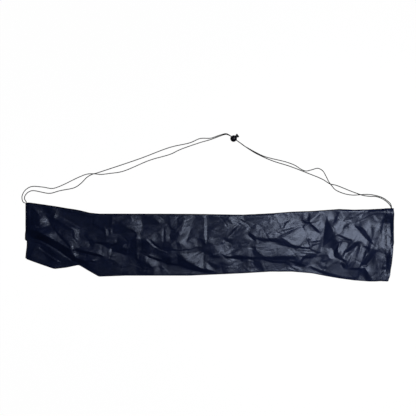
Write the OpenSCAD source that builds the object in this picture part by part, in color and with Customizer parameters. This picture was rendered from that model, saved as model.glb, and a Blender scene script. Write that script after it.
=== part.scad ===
// Drawstring carry bag for a set of weave poles, laid flat and empty, with its cord and cord lock.
// Origin: middle of the underside. +X runs along the bag to its mouth, +Y to its corded side, +Z up.
// All sizes are millimetres.

/* [Bag] */
// Length from the closed end to the mouth
bag_l = 1104; // [1098:1:1110]
// Thickness that stands in for the lower leaf of cloth
back_t = 1; // [0.8:0.1:1.2]
// Thickness that stands in for the upper leaf of cloth
front_t = 1.2; // [1:0.1:1.4]
// Height of the hollow that the empty bag keeps
hollow_h = 11.5; // [10:0.5:12]

/* [Seams] */
// Width of the sewn edge along the side seam
seam_w = 3; // [2:0.5:4]
// Width of the sewn edge along the end seam
end_w = 4; // [3:0.5:5]
// Width of the overlocked allowance inside the seams
allow_w = 8; // [6:0.5:8]
// Thickness of that allowance
allow_t = 1; // [0.8:0.1:1.2]
// Width of a row of stitches
thread_w = 0.8; // [0.6:0.1:1]
// Height of a row of stitches above the cloth
thread_h = 0.4; // [0.3:0.1:0.6]

/* [Casing] */
// Width of the hemmed tunnel round the mouth
casing_w = 26; // [24:1:28]
// Height of the flattened tunnel
casing_h = 3.8; // [3.6:0.1:4]
// Wall of the tunnel
casing_wall = 0.5; // [0.4:0.05:0.5]
// Radius of the tunnel's turn at the folded side
fold_r = 3.4; // [3.2:0.1:3.6]

/* [Cord] */
// Diameter of the cord
cord_d = 2.5; // [2.2:0.1:2.6]

/* [Cord lock] */
// Diameter of the ball
ball_d = 20; // [19.5:0.5:21]
// Diameter of the plunger's stem
stem_d = 8.4; // [8:0.1:8.6]
// Diameter of the plunger's button
button_d = 11.6; // [10:0.2:12]
// Thickness of the button
button_t = 4.5; // [3.5:0.5:6]
// How far the button presses in
press = 3; // [2:0.25:3]
// Diameter of the spring wire
wire_d = 0.6; // [0.4:0.1:0.6]

/* [Hidden] */

half_l = bag_l / 2;
top_t = back_t + allow_t + front_t;
gap = 0.3;

// The laid outline: distance from the closed end, folded edge, seamed edge
EDGE = [
    [0, -50, 118.5], [12, -55, 118.5], [45, -67, 114], [86, -81, 108], [122, -77, 102],
    [160, -69, 96], [192, -88, 88], [220, -104, 85], [300, -101, 85], [490, -101, 84.5],
    [650, -94, 82], [735, -89, 86], [800, -89, 91], [860, -94, 93], [900, -102, 96],
    [940, -109, 99], [985, -115, 97], [1030, -118.5, 98], [1104, -118.5, 102]
];
mouth_slant = 0.11;
rise = 38;
end_rise = 60;
rim = 7;

function clamp01(v) = min(1, max(0, v));
function smooth(v) = let (c = clamp01(v)) c * c * (3 - 2 * c);
function unit(v) = v / norm(v);
function fold_y(s) = lookup(s, [for (e = EDGE) [e[0], e[1]]]);
function seam_y(s) = lookup(s, [for (e = EDGE) [e[0], e[2]]]);
// The mouth leans back below the middle
function slant(y) = mouth_slant * max(0, -y);
function hem_x(y) = half_l - casing_w - gap - slant(y);

// Height of the upper leaf's underside, s from the closed end, with a and b from the two long edges
function allowance_at(s, b) = (b <= allow_w + 0.5 || s <= end_w + allow_w + 0.5) ? allow_t : 0;
function arch_at(s, a, b) =
    hollow_h * smooth((a - rim) / rise) * smooth((b - rim) / rise) * smooth((s - end_w - rim) / end_rise);
function under_z(s, a, b) = back_t + max(allowance_at(s, b), arch_at(s, a, b));

// Columns along the upper leaf, and rows across it as distances from an edge
last_s = bag_l - casing_w;
COLUMNS = [
    end_w, end_w + allow_w + 0.5, 25, 45, 65, 86, 104, 122, 141, 160, 176, 192, 206, 220, 260, 300,
    360, 425, 490, 545, 600, 650, 700, 735, 770, 800, 830, 860, 900, 940, 985, 1030, 1055, last_s
];
RIM_ROWS = [0, allow_w + 0.5, 14, 20, 27, 35, 45];
MIDDLE_ROWS = [0.25, 0.5, 0.75];

function row_ys(s) =
    let (low = fold_y(s), high = seam_y(s) - seam_w, edge = RIM_ROWS[len(RIM_ROWS) - 1],
         a = low + edge, b = high - edge, n = len(RIM_ROWS) - 1)
    concat(
        [for (d = RIM_ROWS) low + d],
        [for (f = MIDDLE_ROWS) a + (b - a) * f],
        [for (i = [n : -1 : 0]) high - RIM_ROWS[i]]
    );
function leaf_x(s, y) = s >= last_s ? hem_x(y) : s - half_l;
function leaf_z(s, y) = under_z(s, y - fold_y(s), seam_y(s) - seam_w - y);
function leaf_point(s, y, lift) = [leaf_x(s, y), y, leaf_z(s, y) + lift];

// A closed skin over a grid of points: the lower face first, then the upper face
function grid_faces(n, m) =
    let (k = n * m)
    concat(
        [for (i = [0 : n - 2], j = [0 : m - 2]) each [
            [i * m + j, (i + 1) * m + j, (i + 1) * m + j + 1],
            [i * m + j, (i + 1) * m + j + 1, i * m + j + 1],
            [k + i * m + j, k + i * m + j + 1, k + (i + 1) * m + j + 1],
            [k + i * m + j, k + (i + 1) * m + j + 1, k + (i + 1) * m + j]]],
        [for (i = [0 : n - 2]) each [
            [i * m, k + i * m, k + (i + 1) * m],
            [i * m, k + (i + 1) * m, (i + 1) * m],
            [i * m + m - 1, (i + 1) * m + m - 1, k + (i + 1) * m + m - 1],
            [i * m + m - 1, k + (i + 1) * m + m - 1, k + i * m + m - 1]]],
        [for (j = [0 : m - 2]) each [
            [j, j + 1, k + j + 1],
            [j, k + j + 1, k + j],
            [(n - 1) * m + j, k + (n - 1) * m + j, k + (n - 1) * m + j + 1],
            [(n - 1) * m + j, k + (n - 1) * m + j + 1, (n - 1) * m + j + 1]]]
    );

// A solid swept through rings of n points each
function side_faces(rings, n, from) =
    [for (i = [0 : rings - 2], j = [0 : n - 1]) let (p = from + i * n, q = (j + 1) % n) each [
        [p + j, p + q, p + n + q],
        [p + j, p + n + q, p + n + j]]];
function flip(faces) = [for (f = faces) [f[0], f[2], f[1]]];
module tube_solid(rings) {
    n = len(rings[0]);
    last = (len(rings) - 1) * n;
    faces = concat(
        side_faces(len(rings), n, 0),
        [[for (j = [n - 1 : -1 : 0]) j]],
        [[for (j = [0 : n - 1]) last + j]]
    );
    polyhedron(points = [for (r = rings) each r], faces = faces, convexity = 10);
}
module pipe_solid(outer, inner) {
    n = len(outer[0]);
    k = len(outer) * n;
    last = k - n;
    faces = concat(
        side_faces(len(outer), n, 0),
        flip(side_faces(len(inner), n, k)),
        [for (j = [0 : n - 1]) let (q = (j + 1) % n) each [[j, k + q, q], [j, k + j, k + q]]],
        [for (j = [0 : n - 1]) let (q = (j + 1) % n) each
            [[last + j, last + q, k + last + q], [last + j, k + last + q, k + last + j]]]
    );
    points = concat([for (r = outer) each r], [for (r = inner) each r]);
    polyhedron(points = points, faces = faces, convexity = 10);
}

// The casing runs along the lower leaf, round the fold and back along the upper leaf, as [y, z]
casing_end = 101;
turn_y = -112;
flat_z = casing_h / 2;
BACK_YS = [casing_end, 60, 0, -60];
turn_steps = 6;
CASING_PATH = concat(
    [for (y = BACK_YS) [y, flat_z]],
    [for (i = [0 : turn_steps]) let (a = -90 - 180 * i / turn_steps)
        [turn_y + fold_r * cos(a), flat_z + fold_r + fold_r * sin(a)]],
    [[-95, 9.3], [-75, 11], [-50, 12.6], [-20, 13.1], [20, 13.1], [50, 12.4], [75, 9.6], [90, 7]],
    [[casing_end, flat_z + casing_h + 0.2]]
);
function casing_tangent(i) =
    let (p = CASING_PATH, last = len(CASING_PATH) - 1)
    i == 0 || i == last ? [i == 0 ? -1 : 1, 0] : unit(p[i + 1] - p[i - 1]);
// The point beside the path by u along X and by v across the tunnel
function casing_point(i, u, v) =
    let (p = CASING_PATH[i], t = casing_tangent(i), y = p[0] + v * t[1])
    [half_l - casing_w / 2 - slant(p[0]) + u, y, p[1] - v * t[0]];
function flat_section(w, h, c) = [
    [w, h - c], [w - c, h], [c - w, h], [-w, h - c], [-w, c - h], [c - w, -h], [w - c, -h], [w, c - h]
];
function casing_rings(section) =
    [for (i = [0 : len(CASING_PATH) - 1]) [for (q = section) casing_point(i, q[0], q[1])]];
casing_bevel = 1.2;
cord_u = 6;
cord_sides = 8;
cord_r = cord_d / 2;

// Cord lock: the cords pass through it at lock_at, and its button points along lock_turn
lock_at = [73, 310.5];
lock_z = ball_d / 2 + 0.05;
lock_turn = 37;
cord_turn = -36;
skew = 90 - lock_turn + cord_turn;
strand_lift = 1.4;
travel = 30;
straight = 12;
along = [cos(cord_turn), sin(cord_turn)];
cords_in = lock_at - straight * along;
cords_out = lock_at + (travel + straight) * along;
high_z = lock_z + strand_lift;
low_z = lock_z - strand_lift;

// Both strands run from the mouth's casing through the lock to the closed corner
mouth_x = half_l - casing_w / 2 + cord_u;
ROUTE_A = [
    [mouth_x, 101.3, 5.9], [mouth_x, 106, 5.2], [543, 114, 2.6], [534, 123, 1.3], [520, 132.5, 1.3],
    [500, 139.2, 1.3], [474, 142.8, 1.3], [428, 140.8, 1.3], [401, 146, 1.3], [377, 157, 1.6],
    [367, 168, 3.8], [358, 180, 4.1], [349, 198, 1.6], [340, 213, 1.3], [325, 221, 1.3],
    [306, 216.4, 1.3], [289, 213, 1.3], [275, 218, 1.3], [258, 229, 1.3], [232, 239.3, 1.3],
    [165.6, 256.3, 1.3], [136.6, 269.8, 5.4],
    [cords_out[0], cords_out[1], high_z], [cords_in[0], cords_in[1], high_z],
    [50.6, 324.4, 8.8], [31.5, 320.7, 2.6], [4, 311.6, 1.3], [-28, 310.3, 1.3],
    [-58, 297.8, 1.3], [-118, 284, 1.3], [-208, 250.3, 1.3], [-322, 212, 1.6],
    [-337, 207, 4], [-354, 202, 4.1], [-368, 193.5, 1.8], [-386, 175.5, 1.3],
    [-404, 163.5, 1.3], [-450, 153.6, 1.3], [-479, 146, 1.3], [-534, 153.6, 1.3],
    [-550, 143.5, 1.3], [-555, 131, 1.3], [-549, 119.2, 1.5]
];
ROUTE_B = [
    [mouth_x, 101.3, 1.9], [mouth_x - 1.2, 105.5, 1.6], [540, 112, 1.3], [531.6, 120.6, 1.3],
    [518, 129.8, 1.3], [499, 136.3, 1.3], [480, 137, 1.6], [461, 139.5, 4], [440, 146.5, 4],
    [424, 152.5, 1.5], [380, 170, 1.3], [361, 174.5, 1.3], [340, 187.5, 1.3],
    [289, 208.6, 1.3], [241, 227, 1.3], [190, 243, 1.3], [164.4, 253.6, 1.3], [135.4, 267.8, 3.8],
    [cords_out[0], cords_out[1], low_z], [cords_in[0], cords_in[1], low_z],
    [50.4, 322.6, 6.3], [32.5, 318, 1.6], [5, 307.8, 1.3], [-28, 298.2, 1.3],
    [-88, 277.2, 1.3], [-117, 263.4, 1.3], [-178, 245.7, 1.3], [-262, 211.4, 1.3],
    [-300, 205.6, 1.3], [-326, 202.6, 1.3], [-347, 204.6, 1.3], [-366, 203.8, 1.3],
    [-386, 197, 1.3], [-452, 166, 1.3], [-472, 160.6, 1.3], [-500, 164.7, 1.3],
    [-535, 166, 1.3], [-553, 155, 1.3], [-562, 138, 1.3], [-561.5, 126, 1.3],
    [-557.5, 118.6, 1.4], [-552.5, 117.2, 1.5]
];
function route_tangent(r, i) = unit(r[min(i + 1, len(r) - 1)] - r[max(i - 1, 0)]);
function cord_rings(r) =
    [for (i = [0 : len(r) - 1])
        let (t = route_tangent(r, i), side = unit(cross(t, [0, 0, 1])), up = cross(side, t))
        [for (j = [0 : cord_sides - 1])
            let (a = 360 * (j + 0.5) / cord_sides) r[i] + cord_r * (cos(a) * side - sin(a) * up)]];

// Bartacks: the dense stitches over the ends of the cord
tack_l = 10;
corner_tack_l = 12;
corner_tack_y = 99;
tack_h = 0.7;
tack_in = 0.6;
stitch_gap = 4;
hem_stitch = 3;

// One strip of cloth or thread beside the seamed edge, between distances a and b in from it
module seam_strip(a, b, s0, s1, z, h) {
    ss = concat([s0], [for (e = EDGE) if (e[0] > s0 && e[0] < s1) e[0]], [s1]);
    n = len(ss);
    outer = [for (s = ss) [s - half_l, seam_y(s) - a]];
    inner = [for (i = [n - 1 : -1 : 0]) [ss[i] - half_l, seam_y(ss[i]) - b]];
    translate([0, 0, z]) linear_extrude(h) polygon(concat(outer, inner));
}

// A raised row of stitches beside the casing's path, from ring i0 to i1 and from v0 to v1 off it
module casing_thread(i0, i1, v0, v1) {
    u = hem_stitch - casing_w / 2;
    half = thread_w / 2;
    section = [[u + half, v0], [u + half, v1], [u - half, v1], [u - half, v0]];
    tube_solid([for (i = [i0 : i1]) [for (q = section) casing_point(i, q[0], q[1])]]);
}

module front_panel() {
    lower = [for (s = COLUMNS) each [for (y = row_ys(s)) leaf_point(s, y, 0)]];
    upper = [for (s = COLUMNS) each [for (y = row_ys(s)) leaf_point(s, y, front_t)]];
    rows = 2 * len(RIM_ROWS) + len(MIDDLE_ROWS);
    color([0.08, 0.09, 0.16])
        polyhedron(points = concat(lower, upper), faces = grid_faces(len(COLUMNS), rows), convexity = 10);
}

module back_panel() {
    ss = concat([end_w], [for (e = EDGE) if (e[0] > end_w && e[0] < last_s) e[0]]);
    n = len(ss);
    fold = [for (s = ss) [s - half_l, fold_y(s)]];
    corner_y = fold_y(last_s);
    corner_x = hem_x(corner_y);
    seam_end_y = seam_y(last_s) - seam_w;
    mouth = [[corner_x, corner_y], [hem_x(0), 0], [hem_x(0), seam_end_y]];
    seam = [for (i = [n - 1 : -1 : 0]) [ss[i] - half_l, seam_y(ss[i]) - seam_w]];
    color([0.07, 0.08, 0.14]) linear_extrude(back_t) polygon(concat(fold, mouth, seam));
}

module side_seam() {
    color([0.05, 0.05, 0.1]) seam_strip(0, seam_w, end_w, last_s - gap, 0, top_t);
}

module end_seam() {
    low = fold_y(0);
    color([0.05, 0.05, 0.1]) translate([-half_l, low, 0]) cube([end_w, seam_y(0) - low, top_t]);
}

module side_allowance() {
    color([0.1, 0.1, 0.14])
        seam_strip(seam_w, seam_w + allow_w, end_w, last_s - gap, back_t, allow_t);
}

module end_allowance() {
    s1 = end_w + allow_w;
    edge = [for (s = [end_w, s1]) [s - half_l, seam_y(s) - seam_w - allow_w]];
    points = [edge[0], [end_w - half_l, fold_y(end_w)], [s1 - half_l, fold_y(s1)], edge[1]];
    color([0.1, 0.1, 0.14]) translate([0, 0, back_t]) linear_extrude(allow_t) polygon(points);
}

module mouth_casing() {
    outer = flat_section(casing_w / 2, casing_h / 2, casing_bevel);
    inner = flat_section(casing_w / 2 - casing_wall, casing_h / 2 - casing_wall, casing_bevel - 0.3);
    color([0.07, 0.08, 0.15]) pipe_solid(casing_rings(outer), casing_rings(inner));
}

module casing_cord() {
    ring = [for (j = [0 : cord_sides - 1]) let (a = 360 * (j + 0.5) / cord_sides)
        [cord_u + cord_r * cos(a), cord_r * sin(a)]];
    color([0.03, 0.03, 0.04]) tube_solid(casing_rings(ring));
}

module side_stitches() {
    middle = (seam_w - thread_w) / 2;
    color([0.12, 0.12, 0.2])
        seam_strip(middle, middle + thread_w, end_w, last_s - gap - tack_l - stitch_gap, top_t, thread_h);
}

module end_stitches() {
    low = fold_y(0) + stitch_gap;
    high = corner_tack_y - stitch_gap;
    color([0.12, 0.12, 0.2])
        translate([(end_w - thread_w) / 2 - half_l, low, top_t])
            cube([thread_w, high - low, thread_h]);
}

// One row goes round the mouth: it shows outside on the upper leaf and inside on the lower one
module casing_stitches() {
    face = casing_h / 2;
    front_from = len(BACK_YS) + turn_steps + 1;
    color([0.12, 0.12, 0.2]) {
        casing_thread(front_from, len(CASING_PATH) - 1, -face - thread_h, -face);
        casing_thread(0, len(BACK_YS) - 1, face, face + thread_h / 2);
    }
}

module mouth_bartack() {
    s = last_s - gap - tack_l;
    color([0.03, 0.03, 0.05]) seam_strip(tack_in, seam_w - tack_in, s, last_s - gap, top_t, tack_h);
}

module corner_bartack() {
    color([0.03, 0.03, 0.05])
        translate([tack_in - half_l, corner_tack_y, top_t])
            cube([end_w - 2 * tack_in, corner_tack_l, tack_h]);
}

module cord_a() {
    color([0.04, 0.04, 0.04]) tube_solid(cord_rings(ROUTE_A));
}

module cord_b() {
    color([0.04, 0.04, 0.04]) tube_solid(cord_rings(ROUTE_B));
}

// The lock's own frame: X along the button, Y across it in the plane of the floor
module in_lock() {
    translate([lock_at[0], lock_at[1], lock_z]) rotate([0, 0, lock_turn]) children();
}
ball_x = -1;
bore_d = stem_d + 0.6;
bore_end = ball_x - ball_d / 2 + 2;
slot_half_h = strand_lift + cord_r + 0.3;
cord_half = cord_r / cos(skew) + 0.35;
window_in = -(stem_d / 2 * tan(skew) + cord_half);
window_out = press - window_in;
stem_web = 1.3;
stem_in = window_in - stem_web;
ball_rim = ball_x + sqrt(pow(ball_d / 2, 2) - pow(bore_d / 2, 2));
button_x = ball_rim + press + 0.4;

module ball_profile() {
    difference() {
        intersection() {
            translate([0, ball_x]) circle(d = ball_d, $fn = 72);
            translate([0, -ball_d]) square([ball_d, 2 * ball_d]);
        }
        translate([0, bore_end]) square([bore_d / 2, 2 * ball_d]);
    }
}

module lock_barrel() {
    reach = ball_d * 0.6;
    wide = cord_half + reach * tan(skew);
    color([0.05, 0.05, 0.09]) in_lock() difference() {
        rotate([0, 90, 0]) rotate_extrude($fn = 72) ball_profile();
        linear_extrude(2 * slot_half_h, center = true) polygon([
            [cord_half, 0], [wide, -reach], [-wide, -reach], [-cord_half, 0], [-wide, reach], [wide, reach]
        ]);
    }
}

module lock_plunger() {
    depth = 2 * stem_d;
    color([0.08, 0.08, 0.12]) in_lock() difference() {
        union() {
            translate([stem_in, 0, 0]) rotate([0, 90, 0])
                cylinder(d = stem_d, h = button_x - stem_in + 1, $fn = 64);
            translate([button_x, 0, 0]) rotate([0, 90, 0]) cylinder(d = button_d, h = button_t, $fn = 64);
        }
        translate([window_in, -depth / 2, -slot_half_h])
            cube([window_out - window_in, depth, 2 * slot_half_h]);
    }
}

module lock_spring() {
    turns = 3;
    steps = 14;
    coil_r = 2.6;
    x0 = bore_end + wire_d / 2 + 0.1;
    pitch = (stem_in - wire_d / 2 - 0.1 - x0) / turns;
    rings = [for (i = [0 : turns * steps])
        let (a = 360 * i / steps, c = [x0 + pitch * i / steps, coil_r * cos(a), coil_r * sin(a)],
             out = [0, cos(a), sin(a)])
        [for (j = [0 : 5]) let (b = 60 * j) c + wire_d / 2 * (cos(b) * out + [sin(b), 0, 0])]];
    color([0.7, 0.7, 0.72]) in_lock() tube_solid(rings);
}

front_panel();
back_panel();
side_seam();
end_seam();
side_allowance();
end_allowance();
mouth_casing();
casing_cord();
side_stitches();
end_stitches();
casing_stitches();
mouth_bartack();
corner_bartack();
cord_a();
cord_b();
lock_barrel();
lock_spring();
lock_plunger();
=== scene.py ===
"""Weave pole carry bag: the looks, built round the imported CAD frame.

Lengths are millimetres until MM turns them into Blender's metres. The frame is the CAD's: X runs
along the bag to its mouth, Y across it to its seamed edge, and Z up off the floor.
"""

import math

import bpy
import numpy as np
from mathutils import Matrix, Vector


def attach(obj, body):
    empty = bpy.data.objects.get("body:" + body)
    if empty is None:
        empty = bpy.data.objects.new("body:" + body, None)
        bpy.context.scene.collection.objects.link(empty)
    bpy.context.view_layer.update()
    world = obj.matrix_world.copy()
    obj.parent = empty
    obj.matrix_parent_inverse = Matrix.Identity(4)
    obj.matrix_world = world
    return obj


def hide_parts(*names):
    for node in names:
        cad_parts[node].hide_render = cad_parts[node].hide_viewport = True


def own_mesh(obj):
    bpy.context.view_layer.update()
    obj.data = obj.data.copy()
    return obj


MM = 0.001
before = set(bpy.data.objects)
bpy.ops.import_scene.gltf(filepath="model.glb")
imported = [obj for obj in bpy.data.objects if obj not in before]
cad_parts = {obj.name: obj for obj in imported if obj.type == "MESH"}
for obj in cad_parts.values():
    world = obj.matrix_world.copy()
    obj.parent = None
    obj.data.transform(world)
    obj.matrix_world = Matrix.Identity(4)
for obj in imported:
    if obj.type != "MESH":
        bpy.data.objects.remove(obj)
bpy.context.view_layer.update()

# ---- driving sizes

HALF_L = 552.0
CASING_W = 26.0
SEAM_W = 3.0
END_W = 4.0
CORD_D = 2.5
MOUTH_SLANT = 0.11
HEM_GAP = 0.3
LOWEST_Z = 0.06

# The laid outline: distance from the closed end, folded edge, seamed edge
EDGE = np.array([
    [0, -50, 118.5], [12, -55, 118.5], [45, -67, 114], [86, -81, 108], [122, -77, 102],
    [160, -69, 96], [192, -88, 88], [220, -104, 85], [300, -101, 85], [490, -101, 84.5],
    [650, -94, 82], [735, -89, 86], [800, -89, 91], [860, -94, 93], [900, -102, 96],
    [940, -109, 99], [985, -115, 97], [1030, -118.5, 98], [1104, -118.5, 102],
])  # fmt: skip

# Cord lock: its centre, the angles of its button and its cords from X, and how far it slides
LOCK_AT = np.array([73.0, 310.5])
BALL_D = 20.0
LOCK_Z = BALL_D / 2 + 0.05
LOCK_TURN = math.radians(37)
CORD_TURN = math.radians(-36)
STRAND_LIFT = 1.4
TRAVEL = 30.0
BUTTON_WAY = np.array([math.cos(LOCK_TURN), math.sin(LOCK_TURN), 0.0])
CORD_WAY = np.array([math.cos(CORD_TURN), math.sin(CORD_TURN)])


# ---- small helpers


def smooth(v):
    v = np.clip(v, 0.0, 1.0)
    return v * v * (3 - 2 * v)


def rounded(v):
    """A rise from 0 to 1 that is steep at first, like the edge of something puffed up."""
    return np.sqrt(1 - (1 - np.clip(v, 0.0, 1.0)) ** 2)


def soft_floor(v, level, soft):
    """v where it is well above level, and bent smoothly so as to stay above it."""
    return level + np.logaddexp(0, (v - level) / soft) * soft


def link(obj):
    bpy.context.scene.collection.objects.link(obj)
    return obj


def quads(rows, columns, close=False):
    """The faces of a grid of points, row after row; close joins each row's ends."""
    i, j = np.meshgrid(
        np.arange(rows - 1), np.arange(columns if close else columns - 1), indexing="ij"
    )
    a, b = i * columns + j, i * columns + (j + 1) % columns
    return np.stack([a, b, b + columns, a + columns], axis=-1).reshape(-1, 4)


def mesh_piece(name, points, faces, material, shade_smooth=True):
    """A mesh object from points in millimetres."""
    mesh = bpy.data.meshes.new(name)
    mesh.from_pydata((np.asarray(points) * MM).tolist(), [], [list(map(int, f)) for f in faces])
    mesh.polygons.foreach_set("use_smooth", [shade_smooth] * len(mesh.polygons))
    mesh.materials.append(material)
    mesh.update()
    return link(bpy.data.objects.new(name, mesh))


def finish_piece(obj, body, slot, *nodes):
    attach(obj, body)
    if nodes:
        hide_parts(*nodes)
    return obj


def catmull(points, step):
    """A smooth line through the points, with points about step apart."""
    p = np.asarray(points, float)
    p = np.vstack([2 * p[0] - p[1], p, 2 * p[-1] - p[-2]])
    fine = []
    for a, b, c, d in zip(p[:-3], p[1:-2], p[2:-1], p[3:]):
        ta, tb, tc = (max(np.linalg.norm(v) ** 0.5, 1e-6) for v in (b - a, c - b, d - c))
        m1 = (c - b) + tb * ((b - a) / ta - (c - a) / (ta + tb))
        m2 = (c - b) + tb * ((d - c) / tc - (d - b) / (tb + tc))
        t = np.linspace(0, 1, 24, endpoint=False)[:, None]
        fine.append(
            (2 * t**3 - 3 * t**2 + 1) * b
            + (t**3 - 2 * t**2 + t) * m1
            + (3 * t**2 - 2 * t**3) * c
            + (t**3 - t**2) * m2
        )
    return respace(np.vstack([*fine, p[-2:-1]]), step)


def distances(line):
    """How far along the line each of its points is."""
    return np.concatenate([[0], np.cumsum(np.linalg.norm(np.diff(line, axis=0), axis=1))])


def places_at(line, at):
    """The places at those distances along the line."""
    along = distances(line)
    return np.stack([np.interp(at, along, line[:, k]) for k in range(3)], axis=1)


def respace(line, step):
    """The same line with its points about step apart."""
    length = distances(line)[-1]
    return places_at(line, np.linspace(0, length, max(2, round(length / step) + 1)))


def frames_along(line):
    """Two unit vectors across a line at each of its points, which turn as little as they can."""
    tangents = np.gradient(line, axis=0)
    tangents /= np.linalg.norm(tangents, axis=1)[:, None]
    side = np.cross(tangents[0], [0.0, 0.0, 1.0])
    if np.linalg.norm(side) < 1e-6:
        side = np.array([1.0, 0.0, 0.0])
    sides = []
    for t in tangents:
        side = side - (side @ t) * t
        side = side / np.linalg.norm(side)
        sides.append(side)
    sides = np.array(sides)
    return sides, np.cross(sides, tangents)


def tube(line, radii, sides):
    """The points and faces of a round tube with closed ends; radii is a number or (ring, side) values."""
    a, b = frames_along(line)
    turn = np.linspace(0, 2 * math.pi, sides, endpoint=False)
    r = np.broadcast_to(radii, (len(line), sides))[:, :, None]
    ring = np.cos(turn)[None, :, None] * a[:, None] + np.sin(turn)[None, :, None] * b[:, None]
    points = (line[:, None] + r * ring).reshape(-1, 3)
    last = (len(line) - 1) * sides
    faces = quads(len(line), sides, close=True)[:, ::-1].tolist()
    caps = [list(range(sides)), [last + j for j in range(sides)][::-1]]
    return points, faces + caps


def join_parts(parts):
    """Several (points, faces) as one."""
    points, faces, start = [], [], 0
    for p, f in parts:
        points.append(p)
        faces += [[i + start for i in face] for face in f]
        start += len(p)
    return np.vstack(points), faces


# ---- materials


class Nodes:
    """A small wrapper that adds shader nodes and links them by socket name."""

    def __init__(self, name):
        self.material = bpy.data.materials.new(name)
        self.material.use_nodes = True
        self.tree = self.material.node_tree
        self.shader = self.tree.nodes["Principled BSDF"]
        self.place = self.add("TexCoord").outputs["Object"]

    def add(self, kind, links=(), **values):
        node = self.tree.nodes.new("ShaderNode" + kind)
        for key, value in values.items():
            if hasattr(node, key):
                setattr(node, key, value)
            else:
                node.inputs[key.replace("_", " ")].default_value = value
        for socket, source in dict(links).items():
            self.join(source, node.inputs[socket])
        return node

    def join(self, source, target):
        out = source if isinstance(source, bpy.types.NodeSocket) else source.outputs[0]
        self.tree.links.new(out, target)

    def set(self, **values):
        for key, value in values.items():
            self.shader.inputs[key.replace("_", " ")].default_value = value

    def drive(self, socket, source):
        self.join(source, self.shader.inputs[socket])

    def noise(self, scale, detail, roughness=0.5):
        """Fractal noise that stays put on the piece."""
        values = {"Scale": scale, "Detail": detail, "Roughness": roughness}
        return self.add("TexNoise", {"Vector": self.place}, **values).outputs["Fac"]

    def ramp(self, source, low, high, dark, light):
        """A colour that runs from dark to light as source runs from low to high."""
        node = self.add("ValToRGB", {"Fac": source})
        for stop, at, colour in zip(node.color_ramp.elements, (low, high), (dark, light)):
            stop.position, stop.color = at, (*colour, 1)
        return node

    def between(self, source, low, high):
        """A number that runs from low to high as source runs from 0 to 1."""
        return self.add("MapRange", {"Value": source}, To_Min=low, To_Max=high)


def woven(name, dark, light, roughness, thread_mm, crinkle, shine):
    """A thin woven cloth: fine plain weave, small crinkles, and slight changes of colour and gloss."""
    n = Nodes(name)
    wave_scale = 0.314 / (2 * thread_mm * MM)
    warp = n.add("TexWave", {"Vector": n.place}, Scale=wave_scale, bands_direction="X")
    weft = n.add("TexWave", {"Vector": n.place}, Scale=wave_scale, bands_direction="Y")
    weave = n.add("Math", {0: warp.outputs["Fac"], 1: weft.outputs["Fac"]}, operation="MULTIPLY")
    cloud = n.noise(38.0, 5.0, 0.6)
    slub = n.noise(420.0, 3.0)
    cells = n.add("TexVoronoi", {"Vector": n.place}, Scale=95.0, feature="DISTANCE_TO_EDGE")
    fold = n.between(cells.outputs["Distance"], 0.0, 1.0)
    fold.inputs["From Max"].default_value = 0.16
    n.drive("Base Color", n.ramp(cloud, 0.3, 0.72, dark, light))
    n.drive("Roughness", n.between(slub, roughness - 0.07, roughness + 0.07))
    creases = n.add("Bump", {"Height": fold}, Strength=crinkle, Distance=0.0006)
    soft = n.add("Bump", {"Height": slub, "Normal": creases}, Strength=0.12, Distance=0.0003)
    threads = n.add("Bump", {"Height": weave, "Normal": soft}, Strength=0.22, Distance=0.0001)
    n.drive("Normal", threads)
    n.set(Specular_IOR_Level=shine, Specular_Tint=(0.80, 0.86, 1.0, 1.0))
    return n.material


def braided(name, dark, light):
    """Round braided cord: crossing strands as bump, dusty high points."""
    n = Nodes(name)
    fibre = n.noise(2600.0, 4.0, 0.65)
    strand = n.add("TexVoronoi", {"Vector": n.place}, Scale=1250.0)
    height = n.add("Math", {0: strand.outputs["Distance"], 1: fibre}, operation="SUBTRACT")
    n.drive("Base Color", n.ramp(fibre, 0.35, 0.7, dark, light))
    n.drive("Roughness", n.between(fibre, 0.62, 0.85))
    n.drive("Normal", n.add("Bump", {"Height": height}, Strength=0.6, Distance=0.0002))
    n.set(Sheen_Weight=0.08, Sheen_Roughness=0.5, Specular_IOR_Level=0.2)
    return n.material


def moulded(name, dark, light, roughness):
    """Moulded plastic with a fine satin grain and slight handling wear."""
    n = Nodes(name)
    grain = n.noise(3200.0, 2.0)
    wear = n.noise(190.0, 6.0, 0.7)
    n.drive("Base Color", n.ramp(wear, 0.35, 0.75, dark, light))
    n.drive("Roughness", n.between(wear, roughness - 0.1, roughness + 0.14))
    n.drive("Normal", n.add("Bump", {"Height": grain}, Strength=0.22, Distance=0.00008))
    n.set(Specular_IOR_Level=0.5)
    return n.material


def drawn_wire(name):
    n = Nodes(name)
    marks = n.noise(2400.0, 3.0)
    n.drive("Base Color", n.ramp(marks, 0.3, 0.7, (0.46, 0.46, 0.47), (0.64, 0.64, 0.66)))
    n.drive("Roughness", n.between(marks, 0.24, 0.42))
    n.set(Metallic=1.0)
    return n.material


NAVY_DARK, NAVY_LIGHT = (0.0034, 0.0068, 0.025), (0.0064, 0.0110, 0.038)
cloth_mat = woven("navy_nylon", NAVY_DARK, NAVY_LIGHT, 0.37, 0.28, 0.04, 0.5)
seam_mat = woven("navy_seam", (0.003, 0.005, 0.014), (0.006, 0.009, 0.022), 0.6, 0.3, 0.2, 0.2)
thread_mat = braided("navy_thread", (0.003, 0.005, 0.014), (0.008, 0.011, 0.024))
cord_mat = braided("black_braid", (0.002, 0.002, 0.0022), (0.008, 0.008, 0.0085))
ball_mat = moulded("black_moulded", (0.007, 0.007, 0.011), (0.014, 0.014, 0.019), 0.36)
button_mat = moulded("black_moulded_button", (0.009, 0.009, 0.013), (0.018, 0.018, 0.024), 0.42)
wire_mat = drawn_wire("spring_wire")


# ---- camera, floor and light

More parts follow.
